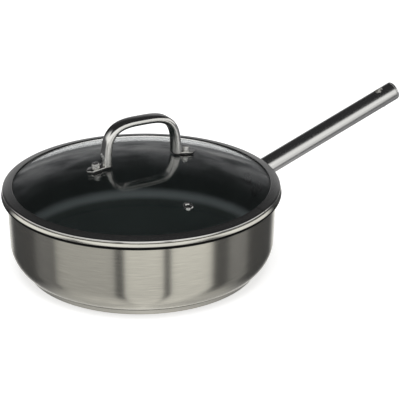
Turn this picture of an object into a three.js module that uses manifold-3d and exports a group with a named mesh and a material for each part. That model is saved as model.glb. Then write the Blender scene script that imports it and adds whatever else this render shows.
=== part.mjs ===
// Deep frying pan with a straight tube handle and a domed glass lid.
// Millimetres, +Z up. The origin is the centre of the base's underside and the handle points along +X.
import * as THREE from 'three';
import { mergeVertices } from 'three/addons/utils/BufferGeometryUtils.js';
import Module from 'manifold-3d';

const wasm = await Module();
wasm.setup();

// Driving dimensions of the pan
const PAN_DIAMETER = 295;
const PAN_HEIGHT = 87.7;
const WALL_THICKNESS = 1.2;
const WALL_TAPER = THREE.MathUtils.degToRad(1.3);
const RIM_OVERHANG = 5.9;
const CURL_UNDER = THREE.MathUtils.degToRad(55);
const HEEL_RADIUS = 30;
const HEEL_HEIGHT = 24;
const TOE_RADIUS = 11;
const COATING_THICKNESS = 0.4;
const CAP_THICKNESS = 1.2;
const CAP_FLARE = 2.8;
const CAP_FOOT_OFFSET = 1;
const CORE_THICKNESS = 4.7;

// Driving dimensions of the pan handle
const HANDLE_RISE = THREE.MathUtils.degToRad(20);
const HANDLE_DROP = 11;
const HANDLE_REACH = 188;
const TUBE_DIAMETER = 21.2;
const TUBE_THICKNESS = 1.2;
const SPIGOT_LENGTH = 26;
const BRACKET_THICKNESS = 2.4;
const BRACKET_WIDTH = 46;
const BRACKET_HEIGHT = 36;
const RIVET_DROP = 14.8;
const RIVET_SPREAD = 24;
const RIVET_RISE = 10;
const RIVET_SHANK_DIAMETER = 5;
const RIVET_HEAD_DIAMETER = 11;
const RIVET_HEAD_HEIGHT = 2;
const RIVET_HEAD_EDGE = 0.6;
const END_CAP_THICKNESS = 2.6;
const END_PLUG_LENGTH = 8;
const HANG_HOLE_DIAMETER = 8.2;
const HANG_HOLE_INSET = 19.5;
const SLEEVE_THICKNESS = 0.8;

// Driving dimensions of the lid
const SKIRT_DEPTH = 8.7;
const SKIRT_THICKNESS = 0.8;
const SKIRT_PLAY = 0.8;
const BAND_EDGE_INSET = 1.2;
const BAND_EDGE_HEIGHT = 3;
const BAND_SHEET = 0.7;
const BAND_GRIP = 2.5;
const BAND_SLOPE = 1.8;
const GLASS_THICKNESS = 4;
const DOME_RISE = 26.4;
const VENT_INSET = 36;
const VENT_HOLE_DIAMETER = 4;
const VENT_FLANGE_DIAMETER = 10.2;
const VENT_ROLL_DIAMETER = 8.4;
const VENT_FLANGE_BEVEL = 0.55;
const VENT_BARREL_THICKNESS = 0.9;
const BOW_SPAN = 81;
const BOW_HEIGHT = 46.6;
const BOW_WIDTH = 15.5;
const BOW_THICKNESS = 8.2;
const BOW_SQUARENESS = 3.3;
const FOOT_WIDTH = 12;
const FOOT_THICKNESS = 1.6;
const FOOT_REACH = 10.5;
const FOOT_CLIP = 4.5;
const SCREW_SPACING = 104;
const SCREW_DIAMETER = 4;
const SCREW_HEAD_DIAMETER = 8;
const SCREW_HEAD_HEIGHT = 5;
const SCREW_HEAD_CHAMFER = 0.6;
const PAD_THICKNESS = 1;
const WASHER_DIAMETER = 12;
const WASHER_THICKNESS = 1;
const NUT_DIAMETER = 8;
const NUT_HEIGHT = 6;
const NUT_SKIRT = 3.6;

// Clearances and facets
const SEAT_GAP = 0.3;
const RIM_GAP = 1;
const ROUND_SEGMENTS = 56;
const SMALL_SEGMENTS = 12;
const TUBE_SEGMENTS = 28;
const BOW_STEPS = 24;
const DOME_STEPS = 8;
const CROWN_STEPS = 3;

// Finishes
const brushedSteel = { color: 0xa7a29a, roughness: 0.32, metalness: 1 };
const polishedSteel = { color: 0xc4c1bb, roughness: 0.16, metalness: 1 };
const satinSteel = { color: 0xb2b0ac, roughness: 0.26, metalness: 1 };
const aluminium = { color: 0xb9bcbe, roughness: 0.45, metalness: 1 };
const nonstick = { color: 0x23282a, roughness: 0.5, metalness: 0 };
const clearGlass = { color: 0xe6efec, roughness: 0.03, metalness: 0, transparent: true, opacity: 0.25 };
const darkSilicone = { color: 0x2b2b2b, roughness: 0.7, metalness: 0 };

// Closed solid from a geometry, with shared vertices merged and flat triangles dropped
function solid(geometry) {
  const bare = geometry.clone();
  bare.deleteAttribute('normal');
  bare.deleteAttribute('uv');
  const merged = mergeVertices(bare, 1e-4);
  const corners = merged.index.array;
  const triangles = [];
  for (let i = 0; i < corners.length; i += 3) {
    const [a, b, c] = corners.slice(i, i + 3);
    if (a !== b && b !== c && c !== a) triangles.push(a, b, c);
  }
  const mesh = new wasm.Mesh({
    numProp: 3,
    vertProperties: new Float32Array(merged.attributes.position.array),
    triVerts: new Uint32Array(triangles),
  });
  return new wasm.Manifold(mesh);
}

// Geometry from a joined or cut solid
function geometryOf(manifold) {
  const mesh = manifold.getMesh();
  const geometry = new THREE.BufferGeometry();
  geometry.setAttribute('position', new THREE.BufferAttribute(new Float32Array(mesh.vertProperties), 3));
  geometry.setIndex(new THREE.BufferAttribute(new Uint32Array(mesh.triVerts), 1));
  geometry.computeVertexNormals();
  return geometry;
}

// Solid of revolution about Z from a profile of (radius, height) points, outer side running upwards
function turned(profile, segments) {
  const points = profile.map(([radius, height]) => new THREE.Vector2(radius, height));
  return solid(new THREE.LatheGeometry(points, segments).rotateX(Math.PI / 2));
}

// Points on an arc in the (radius, height) plane
function arc([centreRadius, centreHeight], radius, startDegrees, endDegrees, steps) {
  const points = [];
  for (let i = 0; i <= steps; i += 1) {
    const angle = THREE.MathUtils.degToRad(startDegrees + ((endDegrees - startDegrees) * i) / steps);
    points.push([centreRadius + radius * Math.cos(angle), centreHeight + radius * Math.sin(angle)]);
  }
  return points;
}

// Quarter-ellipse crown of a domed head, from its edge in to the axis
function crown(radius, edgeHeight, rise) {
  const points = [];
  for (let i = 0; i < CROWN_STEPS; i += 1) {
    const angle = (Math.PI / 2) * (i / CROWN_STEPS);
    points.push([radius * Math.cos(angle), edgeHeight + rise * Math.sin(angle)]);
  }
  return [...points, [0, edgeHeight + rise]];
}

// Plain round bar along Z between two heights
function bar(radius, bottom, top, segments) {
  return turned([[0, bottom], [radius, bottom], [radius, top], [0, top]], segments);
}

function placed(manifold, matrix) {
  return solid(geometryOf(manifold).applyMatrix4(matrix));
}

function piece(name, manifold, finish) {
  const mesh = new THREE.Mesh(geometryOf(manifold), new THREE.MeshStandardMaterial(finish));
  mesh.name = name;
  return mesh;
}

// The bowl's outer surface: flat floor, tight toe, wide heel, then a slightly flared wall up to the rim
const rimRadius = PAN_DIAMETER / 2;
const wallTopRadius = rimRadius - RIM_OVERHANG;
const curlHollow = (RIM_OVERHANG - WALL_THICKNESS) / 2;
const curlRadius = curlHollow + WALL_THICKNESS;
const curlCentre = [wallTopRadius + curlHollow, PAN_HEIGHT - curlRadius];
const floorHeight = CAP_THICKNESS + SEAT_GAP + CORE_THICKNESS + SEAT_GAP;
const heelHeight = floorHeight + HEEL_HEIGHT;

function wallRadius(height) {
  return wallTopRadius - (curlCentre[1] - height) * Math.tan(WALL_TAPER);
}

const heelTangentHeight = heelHeight - HEEL_RADIUS * Math.sin(WALL_TAPER);
const heelCentre = [wallRadius(heelTangentHeight) - HEEL_RADIUS * Math.cos(WALL_TAPER), heelHeight];
const blendAngle = Math.asin((HEEL_HEIGHT - TOE_RADIUS) / (HEEL_RADIUS - TOE_RADIUS));
const toeCentre = [
  heelCentre[0] + (HEEL_RADIUS - TOE_RADIUS) * Math.cos(blendAngle),
  floorHeight + TOE_RADIUS,
];

// Bowl profile set in from the outer surface by a depth, from the axis up to a height on the wall
function bowlProfile(depth, topHeight) {
  const blendDegrees = THREE.MathUtils.radToDeg(blendAngle);
  const taperDegrees = THREE.MathUtils.radToDeg(WALL_TAPER);
  return [
    [0, floorHeight + depth],
    ...arc(toeCentre, TOE_RADIUS - depth, -90, -blendDegrees, 2),
    ...arc(heelCentre, HEEL_RADIUS - depth, -blendDegrees, -taperDegrees, 3).slice(1),
    [wallRadius(topHeight) - depth / Math.cos(WALL_TAPER), topHeight],
  ];
}

// Rivets stand in a triangle on the wall below the tube, all square to it
const handlePoint = new THREE.Vector3(rimRadius, 0, PAN_HEIGHT - HANDLE_DROP);
const rivetTopHeight = handlePoint.z - RIVET_DROP;
const rivetSpots = [
  { y: -RIVET_SPREAD / 2, z: rivetTopHeight },
  { y: RIVET_SPREAD / 2, z: rivetTopHeight },
  { y: 0, z: rivetTopHeight - RIVET_RISE },
];

// Frame on the wall's outer surface at a rivet, with its own Z pointing straight out of the pan
function rivetMatrix({ y, z }) {
  const radius = wallRadius(z);
  const turn = Math.asin(y / radius);
  const frame = new THREE.Matrix4().makeRotationZ(turn);
  frame.multiply(new THREE.Matrix4().makeTranslation(radius, 0, z));
  return frame.multiply(new THREE.Matrix4().makeRotationY(Math.PI / 2 + WALL_TAPER));
}

const holeRadius = RIVET_SHANK_DIAMETER / 2 + SEAT_GAP;
const holeLength = 3 * RIVET_HEAD_DIAMETER;
const rivetHole = bar(holeRadius, -holeLength / 2, holeLength / 2, SMALL_SEGMENTS);

function withRivetHoles(manifold) {
  return rivetSpots.reduce((body, spot) => body.subtract(placed(rivetHole, rivetMatrix(spot))), manifold);
}

// Steel bowl with its rim curled out, down and back under
function makePanShell() {
  const curlEnd = -THREE.MathUtils.radToDeg(CURL_UNDER);
  const profile = [
    ...bowlProfile(0, curlCentre[1]),
    ...arc(curlCentre, curlHollow, 180, curlEnd, 5).slice(1),
    ...arc(curlCentre, curlRadius, curlEnd, 180, 6),
    ...bowlProfile(WALL_THICKNESS, curlCentre[1]).slice(0, -1).reverse(),
  ];
  return withRivetHoles(turned(profile, ROUND_SEGMENTS));
}

// Non-stick layer over the floor and the wall, up to just below the lid's skirt
const skirtBottom = PAN_HEIGHT + SEAT_GAP - SKIRT_DEPTH;
const coatingTop = skirtBottom - 2 * SEAT_GAP;
const coatingDepth = WALL_THICKNESS + SEAT_GAP;

function makeCoating() {
  const inner = bowlProfile(coatingDepth + COATING_THICKNESS, coatingTop).reverse();
  return withRivetHoles(turned([...bowlProfile(coatingDepth, coatingTop), ...inner], ROUND_SEGMENTS));
}

// Steel capsule under the floor, its edge flared up to the toe, with the heat-spreading disc inside
const capFootRadius = toeCentre[0] + CAP_FOOT_OFFSET;
const capTopRadius = capFootRadius + CAP_FLARE;

function makeBaseCap() {
  const profile = [
    [0, 0],
    [capFootRadius - CAP_THICKNESS, 0],
    [capFootRadius, CAP_THICKNESS],
    [capTopRadius, floorHeight],
    [capTopRadius - CAP_THICKNESS, floorHeight],
    [capFootRadius - CAP_THICKNESS, CAP_THICKNESS],
    [0, CAP_THICKNESS],
  ];
  return turned(profile, ROUND_SEGMENTS);
}

function makeBaseCore() {
  const bottom = CAP_THICKNESS + SEAT_GAP;
  return bar(capFootRadius - 2 * CAP_THICKNESS, bottom, bottom + CORE_THICKNESS, ROUND_SEGMENTS);
}

// Frame of the tube: its own Z runs out along the handle from the rim, its own -X points up
const handleFrame = new THREE.Matrix4().makeTranslation(handlePoint);
handleFrame.multiply(new THREE.Matrix4().makeRotationY(Math.PI / 2 - HANDLE_RISE));
const tubeRadius = TUBE_DIAMETER / 2;
const tubeBore = tubeRadius - TUBE_THICKNESS;
const tubeStart = (RIM_GAP + tubeRadius * Math.sin(HANDLE_RISE)) / Math.cos(HANDLE_RISE);
const tubeEnd = HANDLE_REACH - END_CAP_THICKNESS - SEAT_GAP;

// Shield-shaped plate curved to the wall, with a neck and a spigot that the tube slides onto
function makeHandleBracket() {
  const plateTop = curlCentre[1] - curlRadius - RIM_GAP;
  const plateBottom = plateTop - BRACKET_HEIGHT;
  const inner = SEAT_GAP / Math.cos(WALL_TAPER);
  const outer = inner + BRACKET_THICKNESS;
  const wallRing = turned([
    [wallRadius(plateBottom) + inner, plateBottom],
    [wallRadius(plateBottom) + outer, plateBottom],
    [wallRadius(plateTop) + outer, plateTop],
    [wallRadius(plateTop) + inner, plateTop],
    [wallRadius(plateBottom) + inner, plateBottom],
  ], ROUND_SEGMENTS);
  const half = BRACKET_WIDTH / 2;
  const shield = new THREE.Shape();
  shield.moveTo(-half, plateTop + RIM_GAP);
  shield.lineTo(-half, rivetTopHeight);
  shield.quadraticCurveTo(-half, plateBottom, 0, plateBottom);
  shield.quadraticCurveTo(half, plateBottom, half, rivetTopHeight);
  shield.lineTo(half, plateTop + RIM_GAP);
  shield.closePath();
  const slab = new THREE.ExtrudeGeometry(shield, { depth: rimRadius, bevelEnabled: false, curveSegments: 8 });
  slab.rotateX(Math.PI / 2).rotateZ(Math.PI / 2);
  const plate = wallRing.intersect(solid(slab));

  const neck = bar(tubeRadius, -tubeRadius, tubeStart - SEAT_GAP, TUBE_SEGMENTS);
  const spigot = bar(tubeBore - SEAT_GAP, 0, tubeStart + SPIGOT_LENGTH, TUBE_SEGMENTS);
  const socket = placed(neck.add(spigot), handleFrame);
  const wallCore = turned([
    [0, 0],
    [wallRadius(0) + inner, 0],
    [wallRadius(plateTop) + inner, plateTop],
    [rimRadius + RIM_GAP / 2, plateTop],
    [rimRadius + RIM_GAP / 2, PAN_HEIGHT + tubeRadius],
    [0, PAN_HEIGHT + tubeRadius],
  ], ROUND_SEGMENTS);
  return withRivetHoles(plate.add(socket.subtract(wallCore)));
}

function makeHandleTube() {
  const tube = turned([
    [tubeBore, tubeStart],
    [tubeRadius, tubeStart],
    [tubeRadius, tubeEnd],
    [tubeBore, tubeEnd],
    [tubeBore, tubeStart],
  ], TUBE_SEGMENTS);
  return tube.subtract(crossBar(sleeveRadius + SEAT_GAP));
}

// Round bar across the tube at the hanging hole, along the tube's own X
const sleeveRadius = HANG_HOLE_DIAMETER / 2 + SLEEVE_THICKNESS;

function crossBar(radius) {
  const across = bar(radius, -TUBE_DIAMETER, TUBE_DIAMETER, SMALL_SEGMENTS);
  const matrix = new THREE.Matrix4().makeTranslation(0, 0, HANDLE_REACH - HANG_HOLE_INSET);
  return placed(across, matrix.multiply(new THREE.Matrix4().makeRotationY(Math.PI / 2)));
}

function makeHangingSleeve() {
  const trim = bar(tubeRadius + SEAT_GAP, tubeStart, tubeEnd, TUBE_SEGMENTS);
  return crossBar(sleeveRadius).intersect(trim).subtract(crossBar(HANG_HOLE_DIAMETER / 2));
}

function makeEndCap() {
  const plugRadius = tubeBore - SEAT_GAP;
  const flat = tubeEnd + SEAT_GAP;
  return turned([
    [0, tubeEnd - END_PLUG_LENGTH],
    [plugRadius, tubeEnd - END_PLUG_LENGTH],
    [plugRadius, flat],
    [tubeRadius, flat],
    ...arc([tubeRadius - END_CAP_THICKNESS, flat], END_CAP_THICKNESS, 0, 90, 3).slice(1),
    [0, HANDLE_REACH],
  ], TUBE_SEGMENTS);
}

// Rivet with a low domed head inside the pan and a button head on the bracket
function makeRivet(spot) {
  const shank = RIVET_SHANK_DIAMETER / 2;
  const head = RIVET_HEAD_DIAMETER / 2;
  const wallCurve = head ** 2 / (2 * wallRadius(spot.z));
  const inside = -(coatingDepth + COATING_THICKNESS + SEAT_GAP + wallCurve);
  const outside = 2 * SEAT_GAP + BRACKET_THICKNESS;
  const profile = [
    ...crown(head, inside - RIVET_HEAD_EDGE, RIVET_HEAD_EDGE - RIVET_HEAD_HEIGHT).reverse(),
    [head, inside],
    [shank, inside],
    [shank, outside],
    [head, outside],
    ...crown(head, outside + RIVET_HEAD_EDGE, RIVET_HEAD_HEIGHT - RIVET_HEAD_EDGE),
  ];
  return placed(turned(profile, SMALL_SEGMENTS), rivetMatrix(spot));
}

// Lid datum: the flange rests just above the rim, the glass edge sits inside the skirt
const flangeBottom = PAN_HEIGHT + SEAT_GAP;
const flangeTop = flangeBottom + BAND_EDGE_HEIGHT;
const bandRadius = rimRadius - BAND_EDGE_INSET;
const skirtRadius = wallTopRadius - WALL_THICKNESS - SKIRT_PLAY;
const glassRadius = skirtRadius - SKIRT_THICKNESS - SEAT_GAP;
const gripRadius = glassRadius - BAND_GRIP;
const gripTop = flangeTop + BAND_SLOPE - BAND_SHEET - SEAT_GAP;
const domeApex = gripTop + DOME_RISE;
const domeRadius = (gripRadius ** 2 + DOME_RISE ** 2) / (2 * DOME_RISE);
const domeCentre = domeApex - domeRadius;

function domeHeight(radius, depth) {
  return domeCentre + Math.sqrt((domeRadius - depth) ** 2 - radius ** 2);
}

// Frame on the glass at a radius and an angle about Z, with its own Z along the outward normal
function domeMatrix(radius, angle) {
  const frame = new THREE.Matrix4().makeRotationZ(angle);
  frame.multiply(new THREE.Matrix4().makeTranslation(radius, 0, domeHeight(radius, 0)));
  return frame.multiply(new THREE.Matrix4().makeRotationY(Math.asin(radius / domeRadius)));
}

const ventMatrix = domeMatrix(glassRadius - VENT_INSET, -Math.PI / 2);
const ventBarrelRadius = VENT_HOLE_DIAMETER / 2 + VENT_BARREL_THICKNESS;
const footSides = [
  { side: 'near_handle', angle: 0 },
  { side: 'far_side', angle: Math.PI },
];
const footMatrices = footSides.map(({ angle }) => domeMatrix(SCREW_SPACING / 2, angle));
const screwHoleRadius = SCREW_DIAMETER / 2 + 2 * SEAT_GAP;

function makeLidGlass() {
  const surface = (depth) => {
    const points = [];
    for (let i = 0; i <= DOME_STEPS; i += 1) {
      const radius = (glassRadius * i) / DOME_STEPS;
      points.push([radius, domeHeight(radius, depth)]);
    }
    return points;
  };
  const dome = turned([...surface(GLASS_THICKNESS), ...surface(0).reverse()], ROUND_SEGMENTS);
  const reach = 2 * GLASS_THICKNESS;
  const ventHole = bar(ventBarrelRadius + SEAT_GAP, -reach, reach, SMALL_SEGMENTS);
  const screwHole = bar(screwHoleRadius, -reach, reach, SMALL_SEGMENTS);
  return footMatrices.reduce(
    (glass, matrix) => glass.subtract(placed(screwHole, matrix)),
    dome.subtract(placed(ventHole, ventMatrix)),
  );
}

// Folded band: lip over the glass edge, half-round outer edge, skirt in the mouth, ledge under the glass
function makeRimBand() {
  const edgeRound = BAND_EDGE_HEIGHT / 2;
  const edgeCentre = [bandRadius - edgeRound, flangeBottom + edgeRound];
  const channelRadius = glassRadius + SEAT_GAP;
  const ledgeOuter = domeHeight(glassRadius, GLASS_THICKNESS) - SEAT_GAP;
  const ledgeInner = domeHeight(gripRadius, GLASS_THICKNESS) - SEAT_GAP;
  const lipTop = gripTop + SEAT_GAP + BAND_SHEET;
  return turned([
    [skirtRadius - SKIRT_THICKNESS, skirtBottom],
    [skirtRadius, skirtBottom],
    [skirtRadius, flangeBottom],
    ...arc(edgeCentre, edgeRound, -90, 90, 5),
    [gripRadius, lipTop],
    [gripRadius, lipTop - BAND_SHEET],
    [channelRadius, lipTop - BAND_SHEET],
    [channelRadius, ledgeOuter],
    [gripRadius, ledgeInner],
    [gripRadius, ledgeInner - BAND_SHEET],
    [skirtRadius - SKIRT_THICKNESS, ledgeOuter - BAND_SHEET],
    [skirtRadius - SKIRT_THICKNESS, skirtBottom],
  ], ROUND_SEGMENTS);
}

// Eyelet with a flange above and a rolled flange below the glass
function makeVentEyelet() {
  const hole = VENT_HOLE_DIAMETER / 2;
  const flange = VENT_FLANGE_DIAMETER / 2;
  const under = -GLASS_THICKNESS - SEAT_GAP;
  const roll = VENT_ROLL_DIAMETER / 2;
  const top = SEAT_GAP + VENT_BARREL_THICKNESS;
  const bottom = under - VENT_BARREL_THICKNESS;
  const profile = [
    [hole, bottom],
    [roll, bottom],
    [roll, under],
    [ventBarrelRadius, under],
    [ventBarrelRadius, SEAT_GAP],
    [flange, SEAT_GAP],
    [flange - VENT_FLANGE_BEVEL, top],
    [hole, top],
    [hole, bottom],
  ];
  return placed(turned(profile, SMALL_SEGMENTS), ventMatrix);
}

// Bow of the lid handle: a squared-off arch in the XZ plane
const footBottom = SEAT_GAP + PAD_THICKNESS + SEAT_GAP;
const footTilt = Math.asin(SCREW_SPACING / 2 / domeRadius);
const legInset = (SCREW_SPACING - BOW_SPAN) / 2;
const bowBase = domeHeight(SCREW_SPACING / 2, 0) + legInset * Math.tan(footTilt)
  + (footBottom + FOOT_THICKNESS / 2) / Math.cos(footTilt);
const bowRise = domeApex + BOW_HEIGHT - BOW_THICKNESS / 2 - bowBase;

class BowCurve extends THREE.Curve {
  getPoint(t) {
    const angle = Math.PI * (1 - t);
    const power = 2 / BOW_SQUARENESS;
    const across = Math.sign(Math.cos(angle)) * Math.abs(Math.cos(angle)) ** power;
    const up = Math.max(Math.sin(angle), 0) ** power;
    return new THREE.Vector3((across * BOW_SPAN) / 2, 0, bowBase + bowRise * up);
  }
}

function bowSection() {
  const section = new THREE.Shape();
  section.absellipse(0, 0, BOW_WIDTH / 2, BOW_THICKNESS / 2, 0, 2 * Math.PI);
  return section;
}

// Foot plate with clipped outer corners, from under the leg to beyond the screw
function footOutline() {
  const half = FOOT_WIDTH / 2;
  const start = -legInset - BOW_THICKNESS / 2;
  const outline = new THREE.Shape();
  outline.moveTo(start, -half);
  outline.lineTo(FOOT_REACH - FOOT_CLIP, -half);
  outline.lineTo(FOOT_REACH, -half + FOOT_CLIP);
  outline.lineTo(FOOT_REACH, half - FOOT_CLIP);
  outline.lineTo(FOOT_REACH - FOOT_CLIP, half);
  outline.lineTo(start, half);
  outline.closePath();
  return outline;
}

function footPlate(bottom, thickness, matrix) {
  const plate = new THREE.ExtrudeGeometry(footOutline(), { depth: thickness, bevelEnabled: false });
  plate.translate(0, 0, bottom);
  const hole = bar(screwHoleRadius, bottom - thickness, bottom + 2 * thickness, SMALL_SEGMENTS);
  return placed(solid(plate).subtract(hole), matrix);
}

function makeLidHandle() {
  const bow = new THREE.ExtrudeGeometry(bowSection(), {
    steps: BOW_STEPS,
    curveSegments: SMALL_SEGMENTS,
    bevelEnabled: false,
    extrudePath: new BowCurve(),
  });
  return footMatrices.reduce(
    (handle, matrix) => handle.add(footPlate(footBottom, FOOT_THICKNESS, matrix)),
    solid(bow),
  );
}

// Screw stack through one foot, along the glass normal, from the head down to the closed nut
const headSeat = footBottom + FOOT_THICKNESS + SEAT_GAP;
const headTop = headSeat + SCREW_HEAD_HEIGHT;
const softWasherTop = -GLASS_THICKNESS - SEAT_GAP;
const steelWasherTop = softWasherTop - WASHER_THICKNESS - SEAT_GAP;
const nutTop = steelWasherTop - WASHER_THICKNESS - SEAT_GAP;

function makeScrew(matrix) {
  const head = SCREW_HEAD_DIAMETER / 2;
  const shank = SCREW_DIAMETER / 2;
  const profile = [
    [0, nutTop - NUT_SKIRT],
    [shank, nutTop - NUT_SKIRT],
    [shank, headSeat],
    [head, headSeat],
    [head, headTop - SCREW_HEAD_CHAMFER],
    [head - SCREW_HEAD_CHAMFER, headTop],
    [0, headTop],
  ];
  return placed(turned(profile, SMALL_SEGMENTS), matrix);
}

function makeWasher(top, matrix) {
  const outer = WASHER_DIAMETER / 2;
  const profile = [
    [screwHoleRadius, top - WASHER_THICKNESS],
    [outer, top - WASHER_THICKNESS],
    [outer, top],
    [screwHoleRadius, top],
    [screwHoleRadius, top - WASHER_THICKNESS],
  ];
  return placed(turned(profile, SMALL_SEGMENTS), matrix);
}

function makeCapNut(matrix) {
  const outer = NUT_DIAMETER / 2;
  const bore = SCREW_DIAMETER / 2 + SEAT_GAP;
  const boreEnd = nutTop - NUT_SKIRT - SEAT_GAP;
  const profile = [
    ...crown(outer, nutTop - NUT_SKIRT, NUT_SKIRT - NUT_HEIGHT).reverse(),
    [outer, nutTop],
    [bore, nutTop],
    [bore, boreEnd],
    [0, boreEnd],
  ];
  return placed(turned(profile, SMALL_SEGMENTS), matrix);
}

// The pan with its riveted handle
const pan = new THREE.Group();
pan.add(piece('pan_shell', makePanShell(), brushedSteel));
pan.add(piece('nonstick_coating', makeCoating(), nonstick));
pan.add(piece('base_core', makeBaseCore(), aluminium));
pan.add(piece('base_cap', makeBaseCap(), satinSteel));
pan.add(piece('handle_bracket', makeHandleBracket(), satinSteel));
rivetSpots.forEach((spot, i) => pan.add(piece(`handle_rivet_${i + 1}`, makeRivet(spot), nonstick)));

const panHandle = new THREE.Group();
handleFrame.decompose(panHandle.position, panHandle.quaternion, panHandle.scale);
panHandle.add(piece('handle_tube', makeHandleTube(), satinSteel));
panHandle.add(piece('hanging_sleeve', makeHangingSleeve(), polishedSteel));
panHandle.add(piece('handle_end_cap', makeEndCap(), satinSteel));
pan.add(panHandle);

// The lid with its band, vent and screwed-on handle
const lid = new THREE.Group();
lid.add(piece('lid_glass', makeLidGlass(), clearGlass));
lid.add(piece('lid_rim_band', makeRimBand(), polishedSteel));
lid.add(piece('vent_eyelet', makeVentEyelet(), polishedSteel));
lid.add(piece('lid_handle', makeLidHandle(), polishedSteel));
footSides.forEach(({ side }, i) => {
  const matrix = footMatrices[i];
  lid.add(piece(`lid_screw_${side}`, makeScrew(matrix), polishedSteel));
  lid.add(piece(`foot_pad_${side}`, footPlate(SEAT_GAP, PAD_THICKNESS, matrix), darkSilicone));
  lid.add(piece(`under_washer_${side}`, makeWasher(softWasherTop, matrix), darkSilicone));
  lid.add(piece(`steel_washer_${side}`, makeWasher(steelWasherTop, matrix), satinSteel));
  lid.add(piece(`cap_nut_${side}`, makeCapNut(matrix), polishedSteel));
});

const object = new THREE.Group();
object.add(pan);
object.add(lid);

export default object;
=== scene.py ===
import math

import bpy
from mathutils import Matrix, Vector


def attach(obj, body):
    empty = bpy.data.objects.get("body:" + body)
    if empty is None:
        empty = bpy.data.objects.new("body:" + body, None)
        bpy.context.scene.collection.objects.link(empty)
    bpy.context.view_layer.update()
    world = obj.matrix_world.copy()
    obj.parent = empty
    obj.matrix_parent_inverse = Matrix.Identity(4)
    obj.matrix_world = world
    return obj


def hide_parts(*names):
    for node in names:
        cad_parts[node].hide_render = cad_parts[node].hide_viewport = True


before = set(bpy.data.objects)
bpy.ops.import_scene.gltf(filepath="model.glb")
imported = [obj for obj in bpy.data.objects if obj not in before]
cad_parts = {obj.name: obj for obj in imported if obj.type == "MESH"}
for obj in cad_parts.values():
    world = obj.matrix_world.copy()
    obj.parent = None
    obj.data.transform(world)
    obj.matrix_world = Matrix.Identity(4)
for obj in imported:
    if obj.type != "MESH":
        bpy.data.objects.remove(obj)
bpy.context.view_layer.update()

# Pan shell: one deep-drawn stainless bowl. Its outside is brushed round and round on a lathe, and
# its rim is curled out, down and back under, then polished. The curl's underside is painted near
# black as painted shade, and the brushed wall is painted darker towards the bottom as painted
# shade. Sizes are in millimetres.
MM = 0.001
RIM_RADIUS = 147.5
PAN_HEIGHT = 87.7
WALL_SHEET = 1.2
WALL_TAPER = math.radians(1.3)
WALL_RINGS = (32, 40, 50, 60, 70, 76)
FLOOR_HEIGHT = 6.5
FLOOR_RINGS = (0, 20, 45, 70, 92, 110)
TOE_RADIUS = 11
TOE_CENTRE = (124.235, FLOOR_HEIGHT + TOE_RADIUS)
HEEL_RADIUS = 30
HEEL_CENTRE = (110.375, 30.5)
BLEND_ANGLE = -43.17
CURL_RADIUS = 3.55
CURL_CENTRE = (RIM_RADIUS - CURL_RADIUS, PAN_HEIGHT - CURL_RADIUS)
CURL_END = -55
CURL_TOP_START = 62
CURL_FACE_RADIUS = 10.91
CURL_FACE_CENTRE = (137.85, 79.05)
CURL_FACE_START = 27.9
CURL_FACE_END = 39.6
WALL_TOP_RADIUS = RIM_RADIUS - 2 * CURL_RADIUS + WALL_SHEET
LARGE_ROUND = 192
WELD_DISTANCE = 0.002
CREASE_ANGLE = math.radians(32)

POLISH_RADIUS = (142.4, 142.8)
POLISH_HEIGHT = (79.5, 80.5)
CURL_PAINTED_SHADE_HEIGHT = (85.2, 84.4)
BRUSHED_DARK = (0.50, 0.485, 0.435, 1)
BRUSHED_LIGHT = (0.70, 0.68, 0.60, 1)
BRUSHED_ROUGHNESS = 0.15
POLISHED_DARK = (0.66, 0.65, 0.60, 1)
POLISHED_LIGHT = (0.74, 0.73, 0.67, 1)
POLISHED_ROUGHNESS = 0.09
CURL_PAINTED_SHADE = (0.012, 0.012, 0.012, 1)
WALL_ANISOTROPY = 0.92
BRUSHED_ROUND = 0.25


def arc(centre, radius, start, end, steps):
    angles = [math.radians(start + (end - start) * i / steps) for i in range(steps + 1)]
    return [(centre[0] + radius * math.cos(a), centre[1] + radius * math.sin(a)) for a in angles]


def wall_radius(height):
    return WALL_TOP_RADIUS - (CURL_CENTRE[1] - height) * math.tan(WALL_TAPER)


def bowl(depth, top):
    floor = [(r, FLOOR_HEIGHT + depth) for r in FLOOR_RINGS]
    toe = arc(TOE_CENTRE, TOE_RADIUS - depth, -90, BLEND_ANGLE, 10)
    heel = arc(HEEL_CENTRE, HEEL_RADIUS - depth, BLEND_ANGLE, -math.degrees(WALL_TAPER), 14)[1:]
    wall = [(wall_radius(z) - depth / math.cos(WALL_TAPER), z) for z in (*WALL_RINGS, top)]
    return floor + toe + heel + wall


def turned(name, profile, steps):
    points = [Vector((r, 0, z)) * MM for r, z in profile]
    bpy.ops.object.select_all(action="DESELECT")
    bpy.ops.mesh.primitive_plane_add(size=10 * MM)
    piece = bpy.context.object
    piece.name = piece.data.name = name
    bpy.ops.object.mode_set(mode="EDIT")
    bpy.ops.mesh.select_all(action="SELECT")
    bpy.ops.mesh.merge(type="CENTER")
    bpy.ops.transform.translate(value=points[0])
    for before, after in zip(points, points[1:]):
        bpy.ops.mesh.extrude_region_move(TRANSFORM_OT_translate={"value": after - before})
    bpy.ops.mesh.select_all(action="SELECT")
    bpy.ops.mesh.spin(steps=steps, angle=math.tau, center=(0, 0, 0), axis=(0, 0, 1))
    bpy.ops.mesh.select_all(action="SELECT")
    bpy.ops.mesh.remove_doubles(threshold=WELD_DISTANCE * MM)
    bpy.ops.mesh.normals_make_consistent(inside=False)
    bpy.ops.object.mode_set(mode="OBJECT")
    bpy.ops.object.shade_smooth_by_angle(angle=CREASE_ANGLE)
    return piece


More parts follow.
